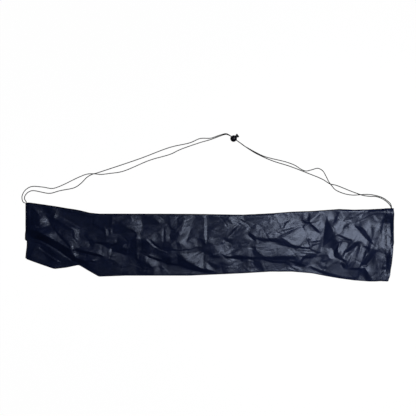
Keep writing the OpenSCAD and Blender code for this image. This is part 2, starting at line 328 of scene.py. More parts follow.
VIEW_CENTRE = (-4.5, 102.0)
VIEW_WIDTH = 1248.0
LENS = 120.0
SENSOR = 36.0
CAMERA_Z = VIEW_WIDTH * LENS / SENSOR
KEY_AT = np.array([800.0, 400.0, 1500.0])
STUDIO_WHITE = (0.86, 0.91, 1.0)
FLOOR_HALF = 6000.0
SKY_LIGHT = 0.02

# Each studio light: where it is and what it aims at in metres, its size, watts and spread in degrees
KEY_LIGHT = (KEY_AT * MM, (0.38, 0.0, 0.0), 1.0, 2.2, 45)
LEFT_KEY_LIGHT = (KEY_AT * MM, (-0.60, 0.0, 0.0), 0.6, 0.36, 20)
FILL_LIGHT = ((-1.1, 0.9, 1.3), (-0.4, 0.0, 0.0), 0.6, 2.8, 180)


def make_camera():
    data = bpy.data.cameras.new("camera")
    data.lens, data.sensor_width = LENS, SENSOR
    camera = link(bpy.data.objects.new("camera", data))
    camera.location = (VIEW_CENTRE[0] * MM, VIEW_CENTRE[1] * MM, CAMERA_Z * MM)
    bpy.context.scene.camera = camera


def make_light(name, at, aim, size, power, spread):
    """A round area light, not seen by the camera itself."""
    data = bpy.data.lights.new(name, "AREA")
    data.shape, data.size, data.energy, data.color = "DISK", size, power, STUDIO_WHITE
    data.spread = math.radians(spread)
    light = link(bpy.data.objects.new(name, data))
    light.location = at
    light.rotation_euler = (Vector(aim) - Vector(at)).to_track_quat("-Z", "Y").to_euler()
    light.visible_camera = False
    return light


def make_floor():
    """A pale floor that shows white to the camera and doesn't light the bag from below."""
    floor_mat = bpy.data.materials.new("pale_floor")
    floor_mat.use_nodes = True
    shader = floor_mat.node_tree.nodes["Principled BSDF"]
    shader.inputs["Base Color"].default_value = (0.02, 0.02, 0.02, 1)
    shader.inputs["Roughness"].default_value = 0.9
    shader.inputs["Emission Color"].default_value = (1, 1, 1, 1)
    shader.inputs["Emission Strength"].default_value = 0.99
    corners = FLOOR_HALF * np.array([(-1, -1, 0), (1, -1, 0), (1, 1, 0), (-1, 1, 0)])
    floor = mesh_piece("floor", corners, [(0, 1, 2, 3)], floor_mat)
    floor.visible_glossy = floor.visible_diffuse = False


def make_world():
    """A white backdrop for the camera that gives only a little light."""
    world = bpy.data.worlds.new("studio")
    world.use_nodes = True
    background = world.node_tree.nodes["Background"]
    background.inputs["Color"].default_value = (1, 1, 1, 1)
    seen = world.node_tree.nodes.new("ShaderNodeLightPath").outputs["Is Camera Ray"]
    strength = world.node_tree.nodes.new("ShaderNodeMapRange")
    strength.inputs["To Min"].default_value = SKY_LIGHT
    world.node_tree.links.new(seen, strength.inputs["Value"])
    world.node_tree.links.new(strength.outputs["Result"], background.inputs["Strength"])
    bpy.context.scene.world = world


def make_stage():
    make_floor()
    make_world()
    bpy.context.scene.view_settings.view_transform = "Standard"
    make_light("key", *KEY_LIGHT)
    make_light("left_key", *LEFT_KEY_LIGHT)
    fill = make_light("fill", *FILL_LIGHT)
    fill.visible_glossy = False


# ---- the outline


def along_edge(x, column):
    """One of the outline's long edges at x, with its corners rounded off."""
    s = np.asarray(x, float) + HALF_L
    offsets = (-3.5, 0.0, 3.5)
    return sum(np.interp(s + o, EDGE[:, 0], EDGE[:, column]) for o in offsets) / len(offsets)


def fold_y(x):
    return along_edge(x, 1)


def seam_y(x):
    return along_edge(x, 2)


def end_shift(y):
    """How far the closed end stands in from its straight line: most at the turned-over flap."""
    short = 4.0 * smooth((8 - y) / 5) * smooth((y + 52) / 50)
    return short - 1.5 * smooth((y - 4) / 6) * smooth((36 - y) / 14)


def near_hem(x, before, length):
    """0 along the bag, rising to 1 over a length that starts that far before the hem."""
    return smooth((x - HALF_L + CASING_W + before) / length)


def slant(y):
    """How far the mouth stands in from its furthest point."""
    return MOUTH_SLANT * np.maximum(0.0, -np.asarray(y, float))


# ---- cords

REST_Z = 1.3
HIGH_Z = LOCK_Z + STRAND_LIFT
LOW_Z = LOCK_Z - STRAND_LIFT
MOUTH_X = HALF_L - CASING_W / 2 + 6
CORDS_IN = LOCK_AT - 12 * CORD_WAY
CORDS_OUT = LOCK_AT + (TRAVEL + 12) * CORD_WAY

# Each cord's route from the mouth corner: where no height is given, it lies on the floor
ROUTE_A = [
    (MOUTH_X, 101.3, 5.9), (MOUTH_X, 106, 5.2), (543, 114, 2.6), (534, 123), (520, 132.5), (500, 139.2),
    (474, 142.8), (428, 140.8), (401, 146), (377, 157, 1.6), (367, 168, 3.8), (358, 180, 4.1),
    (349, 198, 1.6), (340, 213), (325, 221), (306, 216.4), (289, 213), (275, 218), (258, 229), (232, 239.3),
    (165.6, 256.3), (136.6, 269.8, 5.4), (*CORDS_OUT, HIGH_Z), (*CORDS_IN, HIGH_Z), (50.6, 324.4, 8.8),
    (31.5, 320.7, 2.6), (4, 311.6), (-28, 310.3), (-58, 297.8), (-118, 284), (-208, 250.3),
    (-322, 212, 1.6), (-337, 207, 4), (-354, 202, 4.1), (-368, 193.5, 1.8), (-386, 175.5), (-404, 163.5),
    (-450, 153.6), (-479, 146), (-534, 153.6), (-550, 143.5), (-555, 131), (-549, 119.2, 1.5),
]  # fmt: skip
ROUTE_B = [
    (MOUTH_X, 101.3, 1.9), (MOUTH_X - 1.2, 105.5, 1.6), (540, 112), (531.6, 120.6), (518, 129.8),
    (499, 136.3), (480, 137, 1.6), (461, 139.5, 4), (440, 146.5, 4), (424, 152.5, 1.5), (380, 170),
    (361, 174.5), (340, 187.5), (289, 208.6), (241, 227), (190, 243), (164.4, 253.6), (135.4, 267.8, 3.8),
    (*CORDS_OUT, LOW_Z), (*CORDS_IN, LOW_Z), (50.4, 322.6, 6.3), (32.5, 318, 1.6), (5, 307.8), (-28, 298.2),
    (-88, 277.2), (-117, 263.4), (-178, 245.7), (-262, 211.4), (-300, 205.6), (-326, 202.6), (-347, 204.6),
    (-366, 203.8), (-386, 197), (-452, 166), (-472, 160.6), (-500, 164.7), (-535, 166), (-553, 155),
    (-562, 138), (-561.5, 126), (-557.5, 118.6, 1.4), (-552.5, 117.2, 1.5),
]  # fmt: skip

CORD_SIDES = 16
RING_STEP = 0.62
BRAID_DEPTH = 0.07
LOWEST_LINE = CORD_D / 2 * 1.11


def make_cord(name, route):
    """A round braid along the route: crossing strands stand out by a share of its radius."""
    route = [p if len(p) == 3 else (*p, REST_Z) for p in route]
    straight = next(i for i, p in enumerate(route) if p[0] == CORDS_OUT[0])
    line = np.vstack([
        catmull(route[: straight + 1], RING_STEP),
        catmull(route[straight : straight + 2], RING_STEP)[1:],
        catmull(route[straight + 1 :], RING_STEP)[1:],
    ])
    line[:, 2] = np.maximum(line[:, 2], LOWEST_LINE)
    i, j = np.meshgrid(np.arange(len(line)), np.arange(CORD_SIDES), indexing="ij")
    strands = np.sin((i + j) * math.pi / 2) * np.sin((i - j) * math.pi / 2 + math.pi / 4)
    radii = CORD_D / 2 * (1 + BRAID_DEPTH / 2 + BRAID_DEPTH * strands)
    obj = mesh_piece(name, *tube(line, radii, CORD_SIDES), cord_mat)
    return obj, line * MM, float(distances(line)[-1]) * MM


make_camera()
make_stage()
cord_a, line_a, length_a = make_cord("carry_cord_a", ROUTE_A)
cord_b, line_b, length_b = make_cord("carry_cord_b", ROUTE_B)
finish_piece(cord_a, "bag", "cord", "cord_a")
finish_piece(cord_b, "bag", "cord", "cord_b")


# ---- the cloth's height field

GRID = 1.6
BEYOND = 6.0
SLOPE_DOWN = 0.28
LIT_WEIGHT = 4.0
PUFF = 6.0
EDGE_RISE = 2.4
TOP_Z = 25.0
SEAM_LEAF_Z = 1.9
LOWER_LEAF_Z = 0.3
LEAF_GAP = 0.8
FEATHER = 1.0
RIDGE_COUNT = 360
MOST_STEPS = 900
CLOSE_ENOUGH = 1e-8

# Each facet of the upper leaf: its tip, which turns it towards the light above 0 and away from it
# below 0, and the x and y of each of its corners in turn
FACETS = [
    (-0.3, [-535,99, -514,81, -511,75, -514,51, -538,45, -538,96]),
    (0.45, [-532,105, -514,105, -508,87, -520,93]),
    (0.6, [-511,78, -508,48, -535,42, -541,33, -523,37, -508,30, -478,12, -448,-3, -418,-20, -448,12, -472,39,
      -481,60, -490,72, -496,75]),
    (1.0, [-478,48, -469,36, -448,9, -418,-21, -448,-3, -478,18]),
    (-0.8, [-490,81, -472,72, -454,63, -436,54, -418,42, -409,36, -430,36, -454,54, -478,63]),
    (-0.2, [-478,62, -454,53, -430,36, -440,24, -469,40]),
    (0.3, [-442,24, -412,30, -410,6, -422,0, -436,12]),
    (-1.6, [-544,18, -541,27, -532,34, -523,36, -514,33, -493,21, -478,12, -448,-4, -421,-21, -415,-27,
      -412,-36, -406,-45, -394,-51, -373,-54, -373,-69, -388,-69, -403,-60, -418,-55, -430,-45, -448,-31,
      -463,-21, -478,-13, -493,-4, -508,3, -523,6, -538,7, -544,12]),
    (0.2, [-472,-24, -448,-36, -430,-51, -448,-57]),
    (0.2, [-493,-54, -448,-63, -430,-74, -460,-78, -490,-66]),
    (0.5, [-466,81, -439,87, -430,75, -412,60, -391,45, -385,39, -400,36, -412,39, -430,51, -454,66,
      -469,72]),
    (0.9, [-436,75, -418,66, -400,51, -385,39, -406,39, -424,51, -439,63]),
    (-0.45, [-448,96, -382,87, -364,84, -364,48, -388,48, -406,60, -424,75, -442,90]),
    (-0.8, [-388,63, -364,63, -364,48, -388,48]),
    (0.6, [-406,33, -391,33, -391,6, -403,6]),
    (0.7, [-385,45, -370,45, -364,33, -388,36]),
    (0.4, [-415,-24, -409,-9, -394,0, -373,3, -364,-3, -376,-15, -394,-18, -409,-30]),
    (0.5, [-412,-36, -400,-33, -382,-40, -364,-45, -334,-48, -316,-45, -319,-51, -343,-54, -364,-52, -382,-49,
      -403,-45]),
    (-0.9, [-388,-51, -364,-52, -362,-81, -376,-75, -388,-69]),
    (0.5, [-364,-15, -352,-24, -343,-33, -352,-33, -370,-24]),
    (0.9, [-337,-32, -325,-36, -316,-44, -322,-45, -337,-38]),
    (-0.6, [-364,6, -352,8, -343,-3, -349,-15, -358,-12]),
    (-0.8, [-349,-2, -316,0, -298,-3, -301,-21, -310,-18, -316,-9, -331,-6]),
    (-1.2, [-241,36, -235,39, -220,27, -232,27]),
    (0.7, [-217,27, -208,27, -206,9, -216,8]),
    (0.2, [-265,66, -241,69, -241,54, -262,54]),
    (-0.4, [-289,51, -262,54, -241,39, -229,27, -268,24, -292,24]),
    (-0.5, [-364,78, -292,78, -292,45, -316,39, -328,48, -364,48]),
    (0.7, [-316,45, -304,36, -301,18, -310,18, -313,33]),
    (0.2, [-364,42, -340,42, -316,27, -316,12, -340,18, -364,12]),
    (-0.7, [-298,-8, -262,2, -223,15, -222,-46, -244,-44, -262,-36, -292,-28]),
    (0.3, [-262,-7, -248,-5, -247,-20, -260,-18]),
    (-0.5, [-238,-3, -223,-3, -220,-48, -244,-45, -247,-36]),
    (0.3, [-337,-60, -316,-57, -292,-42, -268,-42, -262,-48, -268,-93, -331,-96, -349,-78]),
    (0.7, [-259,-45, -247,-45, -244,-54, -256,-54]),
    (0.3, [-256,-57, -220,-54, -220,-90, -265,-90]),
    (-0.6, [-217,-60, -193,-57, -187,-69, -208,-69]),
    (-0.4, [-205,78, -172,78, -148,54, -184,45, -202,48]),
    (0.15, [-199,39, -148,48, -139,36, -178,18, -199,12]),
    (-0.8, [-205,6, -187,6, -178,-9, -184,-21, -205,-24]),
    (-0.5, [-115,33, -94,30, -88,21, -103,6, -118,6, -121,18]),
    (0.65, [-76,75, -46,75, -58,45, -67,21, -79,0, -87,-12, -91,-3, -85,27, -79,51]),
    (0.2, [-118,72, -97,72, -97,42, -115,42]),
    (-0.25, [-43,72, -16,72, -16,12, -58,9, -70,-3, -58,36]),
    (0.6, [-88,-36, -58,-33, -19,-30, -18,-81, -28,-78, -58,-60, -79,-45]),
    (0.9, [-43,-54, -19,-48, -18,-81, -28,-78, -46,-66]),
    (-1.0, [-97,-45, -88,-45, -70,-57, -43,-72, -13,-84, 1,-90, -13,-93, -43,-86, -73,-78, -97,-72]),
    (0.3, [-118,-57, -103,-45, -97,-45, -97,-66, -115,-66]),
    (-1.0, [-142,-45, -115,-45, -118,-60, -133,-63, -145,-54]),
    (0.9, [-184,-48, -163,-54, -145,-63, -154,-72, -172,-75, -181,-66]),
    (0.5, [-142,-87, -131,-69, -124,-90]),
    (0.45, [-118,-75, -88,-81, -43,-90, -43,-96, -124,-96]),
    (-0.2, [-4,78, 60,78, 98,70, 112,40, 96,22, 60,14, -4,12]),
    (-0.4, [-4,78, 20,78, 24,48, -4,48]),
    (-0.25, [-6,36, 40,36, 40,20, -6,18]),
    (0.3, [56,75, 83,72, 71,51]),
    (0.5, [83,54, 92,51, 77,33, 59,15, 50,12, 65,33]),
    (-0.35, [98,75, 176,75, 140,39, 125,39, 107,60]),
    (-1.5, [116,27, 122,27, 138,14, 138,3, 131,5, 122,14, 116,18]),
    (-0.5, [158,9, 197,12, 221,6, 233,-3, 212,-3, 170,1]),
    (0.35, [95,-3, 119,0, 128,3, 119,-12, 95,-12]),
    (-1.6, [41,-39, 47,-42, 65,-45, 77,-42, 92,-41, 101,-45, 101,-51, 95,-54, 83,-52, 68,-50, 44,-48]),
    (-0.8, [101,-46, 152,-45, 152,-53, 101,-53]),
    (0.25, [44,-24, 92,-18, 116,-16, 116,-42, 80,-37, 50,-36]),
    (0.6, [116,-18, 125,-18, 126,-44, 116,-44]),
    (-0.4, [128,-24, 140,-30, 155,-45, 137,-44, 128,-33]),
    (0.75, [137,-12, 158,-3, 188,-6, 221,-12, 248,-18, 260,-30, 242,-41, 197,-42, 176,-44, 164,-45, 152,-36,
      140,-24]),
    (0.45, [150,36, 188,66, 212,60, 212,40, 182,20, 152,12]),
    (-0.5, [188,-44, 260,-44, 260,-53, 234,-54, 188,-54]),
    (-0.35, [150,-57, 155,-66, 164,-84, 146,-84, 128,-63, 134,-57]),
    (0.6, [68,-60, 92,-54, 95,-60, 80,-84, 68,-93, 47,-90, 59,-75]),
    (0.75, [-10,-60, 2,-72, 20,-90, 11,-93, -4,-84, -13,-75]),
    (0.3, [5,-51, 38,-45, 44,-54, 26,-72, -1,-60]),
    (0.3, [170,-60, 227,-66, 272,-84, 272,-87, 176,-87]),
    (0.6, [296,63, 332,84, 338,48, 329,33, 308,51]),
    (0.4, [278,84, 293,87, 293,66, 284,69]),
    (0.35, [218,60, 266,75, 272,57, 248,45, 218,39]),
    (-0.4, [215,87, 233,87, 231,78, 219,80]),
    (0.75, [227,30, 272,48, 284,33, 293,15, 296,-9, 272,-12, 248,-9, 227,6, 206,18]),
    (0.8, [296,33, 326,27, 332,9, 302,6, 293,18]),
    (0.5, [284,-51, 326,-48, 347,-51, 326,-63, 302,-66, 281,-57]),
    (-1.6, [233,-54, 242,-57, 260,-60, 272,-66, 284,-69, 287,-75, 281,-81, 272,-75, 260,-68, 242,-60]),
    (-0.35, [332,-72, 356,-72, 356,-82, 332,-82]),
    (-1.0, [352,77, 356,60, 368,39, 374,18, 371,6, 350,-6, 338,-18, 335,-24, 338,-3, 341,21, 344,42, 347,66]),
    (0.6, [338,60, 344,48, 341,21, 335,-15, 329,-15, 332,21]),
    (0.45, [356,90, 366,90, 366,62, 358,66]),
    (-0.7, [367,98, 396,98, 380,69, 372,72]),
    (0.4, [373,66, 394,66, 411,51, 403,39, 382,35, 368,48]),
    (-0.4, [412,94, 424,94, 424,66, 400,62]),
    (-0.6, [424,94, 451,94, 446,64, 424,58]),
    (-0.9, [408,56, 418,56, 416,41, 407,42]),
    (0.9, [384,24, 403,36, 437,40, 465,11, 500,-20, 488,-22, 466,-9, 451,6, 433,-3, 415,6, 391,12]),
    (-1.1, [433,48, 452,47, 469,31, 482,7, 500,-16, 490,-12, 464,14, 443,37]),
    (0.6, [452,61, 481,60, 484,30, 475,18, 467,34, 453,49]),
    (-0.35, [484,44, 512,34, 506,-16, 484,6]),
    (0.3, [510,70, 521,70, 523,-14, 512,-14]),
    (-0.8, [403,-24, 433,0, 457,0, 427,-25, 412,-34]),
    (0.75, [382,-24, 391,1, 427,-6, 406,-25, 406,-48, 388,-36]),
    (-1.1, [364,-15, 373,-3, 392,3, 386,-14, 383,-24, 389,-42, 404,-54, 410,-64, 391,-54, 373,-45, 370,-25]),
    (0.75, [439,-12, 470,-22, 469,-38, 453,-78, 416,-78, 410,-62]),
    (-1.1, [466,-17, 502,-28, 493,-42, 469,-72, 460,-72, 453,-66, 472,-36, 475,-26]),
    (-1.1, [453,-84, 464,-74, 486,-117, 453,-116]),
    (0.6, [500,-28, 518,-34, 523,-66, 519,-114, 489,-116, 470,-76, 485,-58]),
    (-0.8, [391,-63, 401,-63, 410,-78, 400,-79]),
    (0.3, [346,-64, 388,-66, 396,-82, 450,-86, 450,-108, 400,-104, 356,-92]),
    (-1.3, [519,104, 556,104, 556,46, 533,46, 522,60]),
    (-1.3, [542,46, 556,46, 556,-14, 544,-14]),
    (0.5, [526,34, 540,30, 541,-40, 528,-42]),
    (-1.3, [530,-46, 548,-42, 546,-118, 526,-118]),
]  # fmt: skip

# Each narrow crease: its tip as above, its width, and the x and y of each place on its line in turn
CREASES = [
    (-0.6, 6, [-546,112, -546,-44]),
    (-0.5, 4, [-532,99, -514,81]),
    (-0.8, 5, [-469,42, -442,12, -418,-15]),
    (0.6, 4, [-532,6, -508,2, -484,-10, -454,-28, -430,-46, -418,-54]),
    (-0.7, 4, [-532,0, -508,-4, -490,-14, -478,-21]),
    (0.8, 4, [-511,-18, -493,-33, -478,-42, -463,-52, -448,-60]),
    (-0.6, 4, [-502,-18, -478,-36, -454,-50]),
    (0.9, 6, [-411,-12, -411,-24, -405,-36, -392,-47, -370,-53, -345,-54, -322,-48, -303,-40, -293,-34]),
    (0.8, 4, [-394,-17, -375,-20, -352,-24, -328,-27]),
    (-1.6, 7, [-397,-26, -382,-29, -358,-35, -334,-40, -323,-44]),
    (-0.8, 5, [-366,-56, -343,-60, -319,-54, -298,-45, -292,-39]),
    (0.6, 3, [-337,4, -316,3, -292,6, -262,12, -238,18]),
    (-0.7, 3, [-334,8, -310,8, -292,11, -262,16, -241,22]),
    (0.4, 3, [-292,15, -262,20, -244,26]),
    (0.7, 4, [-295,-16, -280,3]),
    (0.5, 4, [-238,0, -244,-18, -247,-33]),
    (0.6, 3, [-296,-40, -268,-39]),
    (0.4, 4, [-258,-48, -262,-78, -267,-93]),
    (0.5, 3, [-253,-63, -229,-69, -208,-78]),
    (-1.1, 4, [-222,24, -222,-15, -219,-54]),
    (0.6, 5, [-214,0, -214,-50]),
    (0.5, 4, [-235,78, -226,51, -220,42]),
    (0.4, 4, [-220,78, -222,60, -217,42]),
    (0.5, 4, [-210,78, -208,42]),
    (-0.4, 5, [-200,46, -184,44, -148,54]),
    (0.4, 4, [-196,12, -154,30]),
    (0.8, 4, [-187,6, -175,-6, -160,-18, -148,-22, -130,-30]),
    (-1.3, 5, [-175,3, -163,-9, -151,-18]),
    (-0.45, 4, [-148,-21, -133,-27, -112,-24, -88,-26, -58,-22, -28,-13]),
    (0.5, 4, [-141,42, -141,3]),
    (-0.7, 4, [-135,33, -135,0, -142,-15]),
    (0.55, 5, [-12,75, -12,-3]),
    (-0.35, 4, [-6,75, -6,0]),
    (0.6, 5, [-169,-21, -181,-42]),
    (-1.8, 6, [-181,-45, -163,-51, -148,-57, -133,-64, -103,-69, -73,-78, -43,-84, -13,-90, 1,-93]),
    (-0.7, 4, [-208,-69, -184,-75, -172,-78]),
    (0.5, 3, [-172,-81, -148,-69, -134,-64]),
    (0.4, 3, [-208,-87, -178,-87, -154,-75]),
    (-0.4, 3, [-196,-83, -174,-84, -150,-73]),
    (-0.4, 4, [56,63, 68,51, 83,60]),
    (0.7, 5, [92,60, 107,51, 119,39]),
    (-0.6, 4, [95,66, 110,58, 125,42]),
    (0.7, 4, [140,42, 158,51, 188,72]),
    (-0.5, 4, [138,46, 166,65, 184,79]),
    (-0.35, 3, [146,39, 164,48, 178,55]),
    (-0.9, 6, [137,12, 149,8, 161,4]),
    (-0.8, 4, [121,-11, 134,-5, 141,-1]),
    (-0.4, 3, [8,-9, 38,1]),
    (-0.35, 4, [-4,-18, 38,-3]),
    (-0.4, 3, [56,-12, 86,-5, 116,-3]),
    (-0.3, 3, [68,-18, 116,-13]),
    (-0.4, 4, [-1,-51, 29,-39]),
    (-0.6, 4, [67,-59, 50,-77, 38,-87]),
    (-1.2, 5, [-13,-84, 8,-90, 23,-95]),
    (-1.0, 5, [140,-48, 158,-48, 170,-56, 188,-60, 224,-62]),
    (-1.3, 4, [164,-47, 186,-50]),
    (0.5, 6, [158,-57, 166,-84]),
    (-0.8, 6, [266,81, 278,66, 284,60]),
    (-1.4, 7, [284,57, 296,57, 308,48, 326,30]),
    (-0.45, 5, [281,57, 269,51, 251,42, 218,33, 188,21]),
    (-0.4, 4, [281,51, 283,36]),
    (-0.6, 6, [297,63, 299,87]),
    (-0.45, 4, [227,54, 221,42]),
    (-0.5, 4, [290,9, 281,-9]),
    (-0.6, 4, [294,6, 300,-18]),
    (-0.35, 3, [308,0, 332,3]),
    (-0.3, 3, [308,-10, 329,-6]),
    (-1.0, 5, [185,3, 212,0, 230,-6, 242,-9, 257,-15, 272,-17, 299,-20]),
    (-0.8, 4, [299,-20, 311,-27, 326,-33, 338,-32, 350,-26]),
    (-0.4, 3, [278,-27, 305,-28]),
    (-0.35, 3, [275,-34, 302,-35]),
    (0.7, 4, [332,-36, 353,-21]),
    (-0.6, 4, [275,-45, 302,-47, 332,-42, 353,-42]),
    (-0.6, 5, [338,-60, 350,-57, 358,-51]),
    (-0.4, 3, [314,-64, 327,-64]),
    (-0.3, 4, [242,-75, 266,-87]),
    (-0.9, 5, [284,-80, 303,-75]),
    (-1.3, 8, [305,-78, 326,-87, 344,-93, 362,-99, 376,-103, 406,-112]),
    (-0.5, 4, [335,78, 356,93]),
    (-0.8, 5, [427,56, 451,64, 481,80, 512,90]),
    (0.7, 5, [449,74, 475,89, 496,97]),
    (-0.6, 4, [455,84, 478,96]),
    (-0.9, 6, [385,21, 412,8, 424,4]),
    (-0.5, 5, [451,-22, 436,-50, 418,-74]),
    (-1.1, 5, [463,-14, 502,-28]),
    (-0.9, 5, [526,24, 551,6]),
    (-0.8, 5, [515,-20, 528,-36]),
    (-0.7, 6, [518,-76, 530,-82]),
    (-0.6, 4, [502,-78, 498,-112]),
    (-0.6, 4, [512,-60, 509,-108]),
]  # fmt: skip

# The casing's middle line along the upper leaf: distance across the bag, height
FRONT_PATH = np.array([
    [-112, 8.7], [-95, 9.3], [-75, 11], [-50, 12.6], [-20, 12.6], [12, 11.4], [40, 7.4], [56, 7.2],
    [72, 9.6], [89, 12.0], [95, 11.0], [101, 6.4],
])  # fmt: skip

GRID_X = np.arange(-HALF_L - 4, HALF_L + 4.1, GRID)
GRID_Y = np.arange(-124.0, 124.1, GRID)
PLANE_X, PLANE_Y = np.meshgrid(GRID_X, GRID_Y, indexing="ij")


def pairs(numbers):
    """A flat list of x and y in turn, as (x, y) pairs."""
    return list(zip(numbers[::2], numbers[1::2]))


def to_line(x, y, points):
    """How far each place is from a line of points, and the unit vector across its nearest stretch."""
    best = np.full(x.shape, np.inf)
    across = np.zeros((*x.shape, 2))
    for (x0, y0), (x1, y1) in zip(points[:-1], points[1:]):
        dx, dy = x1 - x0, y1 - y0
        long = math.hypot(dx, dy)
        t = np.clip(((x - x0) * dx + (y - y0) * dy) / long**2, 0, 1)
        away = np.hypot(x - x0 - t * dx, y - y0 - t * dy)
        nearer = away < best
        best[nearer] = away[nearer]
        across[nearer] = (-dy / long, dx / long)
    return best, across


def inside_outline(x, y, points):
    """Even-odd test of each place against a closed outline."""
    inside = np.zeros(x.shape, bool)
    for (x0, y0), (x1, y1) in zip(points, [*points[1:], points[0]]):
        crosses = (y0 > y) != (y1 > y)
        if y0 != y1:
            inside ^= crosses & (x < (x1 - x0) * (y - y0) / (y1 - y0) + x0)
    return inside


def light_way():
    """At each place, the way in which a tipped facet mirrors the key light to the viewer, and its slope."""
    places = np.stack([PLANE_X, PLANE_Y, np.zeros(PLANE_X.shape)], axis=-1)
    ways = []
    for target in (KEY_AT, np.array([*VIEW_CENTRE, CAMERA_Z])):
        to = target - places
        ways.append(to / np.linalg.norm(to, axis=-1)[..., None])
    middle = ways[0] + ways[1]
    steep = np.linalg.norm(middle[..., :2], axis=-1)
    return middle[..., :2] / steep[..., None], steep / middle[..., 2]


def paint(field, mask, target):
    field[...] = field * (1 - mask) + target * mask


def cell_tilts(cell, spread, seed):
    """Random flat facets of about that size, each with its own tilt."""
    rng = np.random.default_rng(seed)
    nx, ny = (int(len(g) * GRID / cell) + 5 for g in (GRID_X, GRID_Y))
    jitter = rng.random((nx, ny, 2))
    tilt = rng.normal(0, spread, (nx, ny, 2))
    fx, fy = (PLANE_X - GRID_X[0]) / cell + 2, (PLANE_Y - GRID_Y[0]) / cell + 2
    ix, iy = fx.astype(int), fy.astype(int)
    best = np.full(PLANE_X.shape, np.inf)
    out = np.zeros((*PLANE_X.shape, 2))
    for di in (-1, 0, 1):
        for dj in (-1, 0, 1):
            cx, cy = ix + di, iy + dj
            seed_at = jitter[cx, cy]
            away = np.hypot(fx - cx - seed_at[..., 0], fy - cy - seed_at[..., 1])
            nearer = away < best
            best[nearer] = away[nearer]
            out[nearer] = tilt[cx, cy][nearer]
    return out


def solve_height(slope, weight, domain, hold, lit=None, firm=None):
    """The height field whose slope is nearest to the wanted one, by conjugate gradients.

    domain is where there is cloth, and hold is a weak pull towards zero that stops the field from
    drifting up. Where firm is above zero, the slope along the light's way is asked to be lit.
    """
    open_x, open_y = domain[1:] & domain[:-1], domain[:, 1:] & domain[:, :-1]
    wx = open_x * (weight[1:] + weight[:-1]) / 2
    wy = open_y * (weight[:, 1:] + weight[:, :-1]) / 2
    want_x = wx * GRID * (slope[1:, :, 0] + slope[:-1, :, 0]) / 2
    want_y = wy * GRID * (slope[:, 1:, 1] + slope[:, :-1, 1]) / 2
    way = light_way()[0][:-1, :-1]
    sum_way, dif_way = (way[..., 0] + way[..., 1]) / 2, (way[..., 0] - way[..., 1]) / 2
    inner = domain[1:, 1:] & domain[1:, :-1] & domain[:-1, 1:] & domain[:-1, :-1]
    firm = np.zeros(inner.shape) if firm is None else firm[:-1, :-1] * inner
    asked = np.zeros(inner.shape) if lit is None else lit[:-1, :-1] * GRID

    def gather(ex, ey, cell):
        total = np.zeros(domain.shape)
        total[1:] += ex
        total[:-1] -= ex
        total[:, 1:] += ey
        total[:, :-1] -= ey
        total[1:, 1:] += cell * sum_way
        total[:-1, :-1] -= cell * sum_way
        total[1:, :-1] += cell * dif_way
        total[:-1, 1:] -= cell * dif_way
        return total * domain

    def apply(z):
        along = sum_way * (z[1:, 1:] - z[:-1, :-1]) + dif_way * (z[1:, :-1] - z[:-1, 1:])
        return gather(wx * (z[1:] - z[:-1]), wy * (z[:, 1:] - z[:, :-1]), firm * along) + hold * z * domain

    z = np.zeros(domain.shape)
    rest = gather(want_x, want_y, firm * asked)
    search = rest.copy()
    size = float((rest * rest).sum())
    start = size
    for _ in range(MOST_STEPS):
        pushed = apply(search)
        step = size / float((search * pushed).sum())
        z += step * search
        rest -= step * pushed
        new = float((rest * rest).sum())
        if new < CLOSE_ENOUGH * start:
            break
        search = rest + new / size * search
        size = new
    return z


def wander(x, y, cell, seed):
    """Smooth noise from -1 to 1 with features of about that size."""
    rng = np.random.default_rng(seed)
    lattice = rng.uniform(-1, 1, (256, 256))
    fx, fy = np.asarray(x, float) / cell + 97.3, np.asarray(y, float) / cell + 61.7
    ix, iy = np.floor(fx).astype(int), np.floor(fy).astype(int)
    tx, ty = smooth(fx - ix), smooth(fy - iy)

    def at(i, j):
        return lattice[(ix + i) % 256, (iy + j) % 256]

    return (at(0, 0) * (1 - tx) + at(1, 0) * tx) * (1 - ty) + (at(0, 1) * (1 - tx) + at(1, 1) * tx) * ty


def asked_slope(tip, steep):
    """The slope along the light's way: falling towards the light for a lit tip, rising for a dark one."""
    return -tip * steep if tip > 0 else SLOPE_DOWN * abs(tip) ** 0.6


def wanted_slopes():
    """The upper leaf's random slopes and their weight, and its folds' lit slopes and their weight."""
    random = cell_tilts(44, 0.14, 11) + cell_tilts(19, 0.08, 12)
    way, steep = light_way()
    along = (random * way).sum(-1)
    lit, firm = np.zeros(PLANE_X.shape), np.zeros(PLANE_X.shape)
    for tip, numbers in FACETS:
        points = pairs(numbers)
        away, _ = to_line(PLANE_X, PLANE_Y, [*points, points[0]])
        signed = np.where(inside_outline(PLANE_X, PLANE_Y, points), away, -away)
        mask = smooth(0.5 + signed / (2 * FEATHER))
        paint(lit, mask, 0.25 * along + asked_slope(tip, steep))
        paint(firm, mask, 1.0 + 1.2 * smooth(-0.6 - tip))
    for tip, width, numbers in CREASES:
        away, across = to_line(PLANE_X, PLANE_Y, pairs(numbers))
        mask = smooth((width / 2 + FEATHER - away) / (2 * FEATHER))
        square = np.clip(np.abs((across * way).sum(-1)) * 1.6, 0.1, 1)
        paint(lit, mask, asked_slope(tip, 1.2 * steep))
        paint(firm, mask, square)
    return random, 0.6 - 0.53 * np.minimum(firm, 1), lit, LIT_WEIGHT * firm


def hem_level(y):
    """Height of the casing's middle where it runs along the upper leaf."""
    return np.interp(y, FRONT_PATH[:, 0], FRONT_PATH[:, 1])


def cloth_domain(a, b, c):
    """Where there is cloth, and a little beyond it: a, b and c are the distances in from its edges."""
    return (a > -BEYOND) & (b > -BEYOND) & (c > -BEYOND)


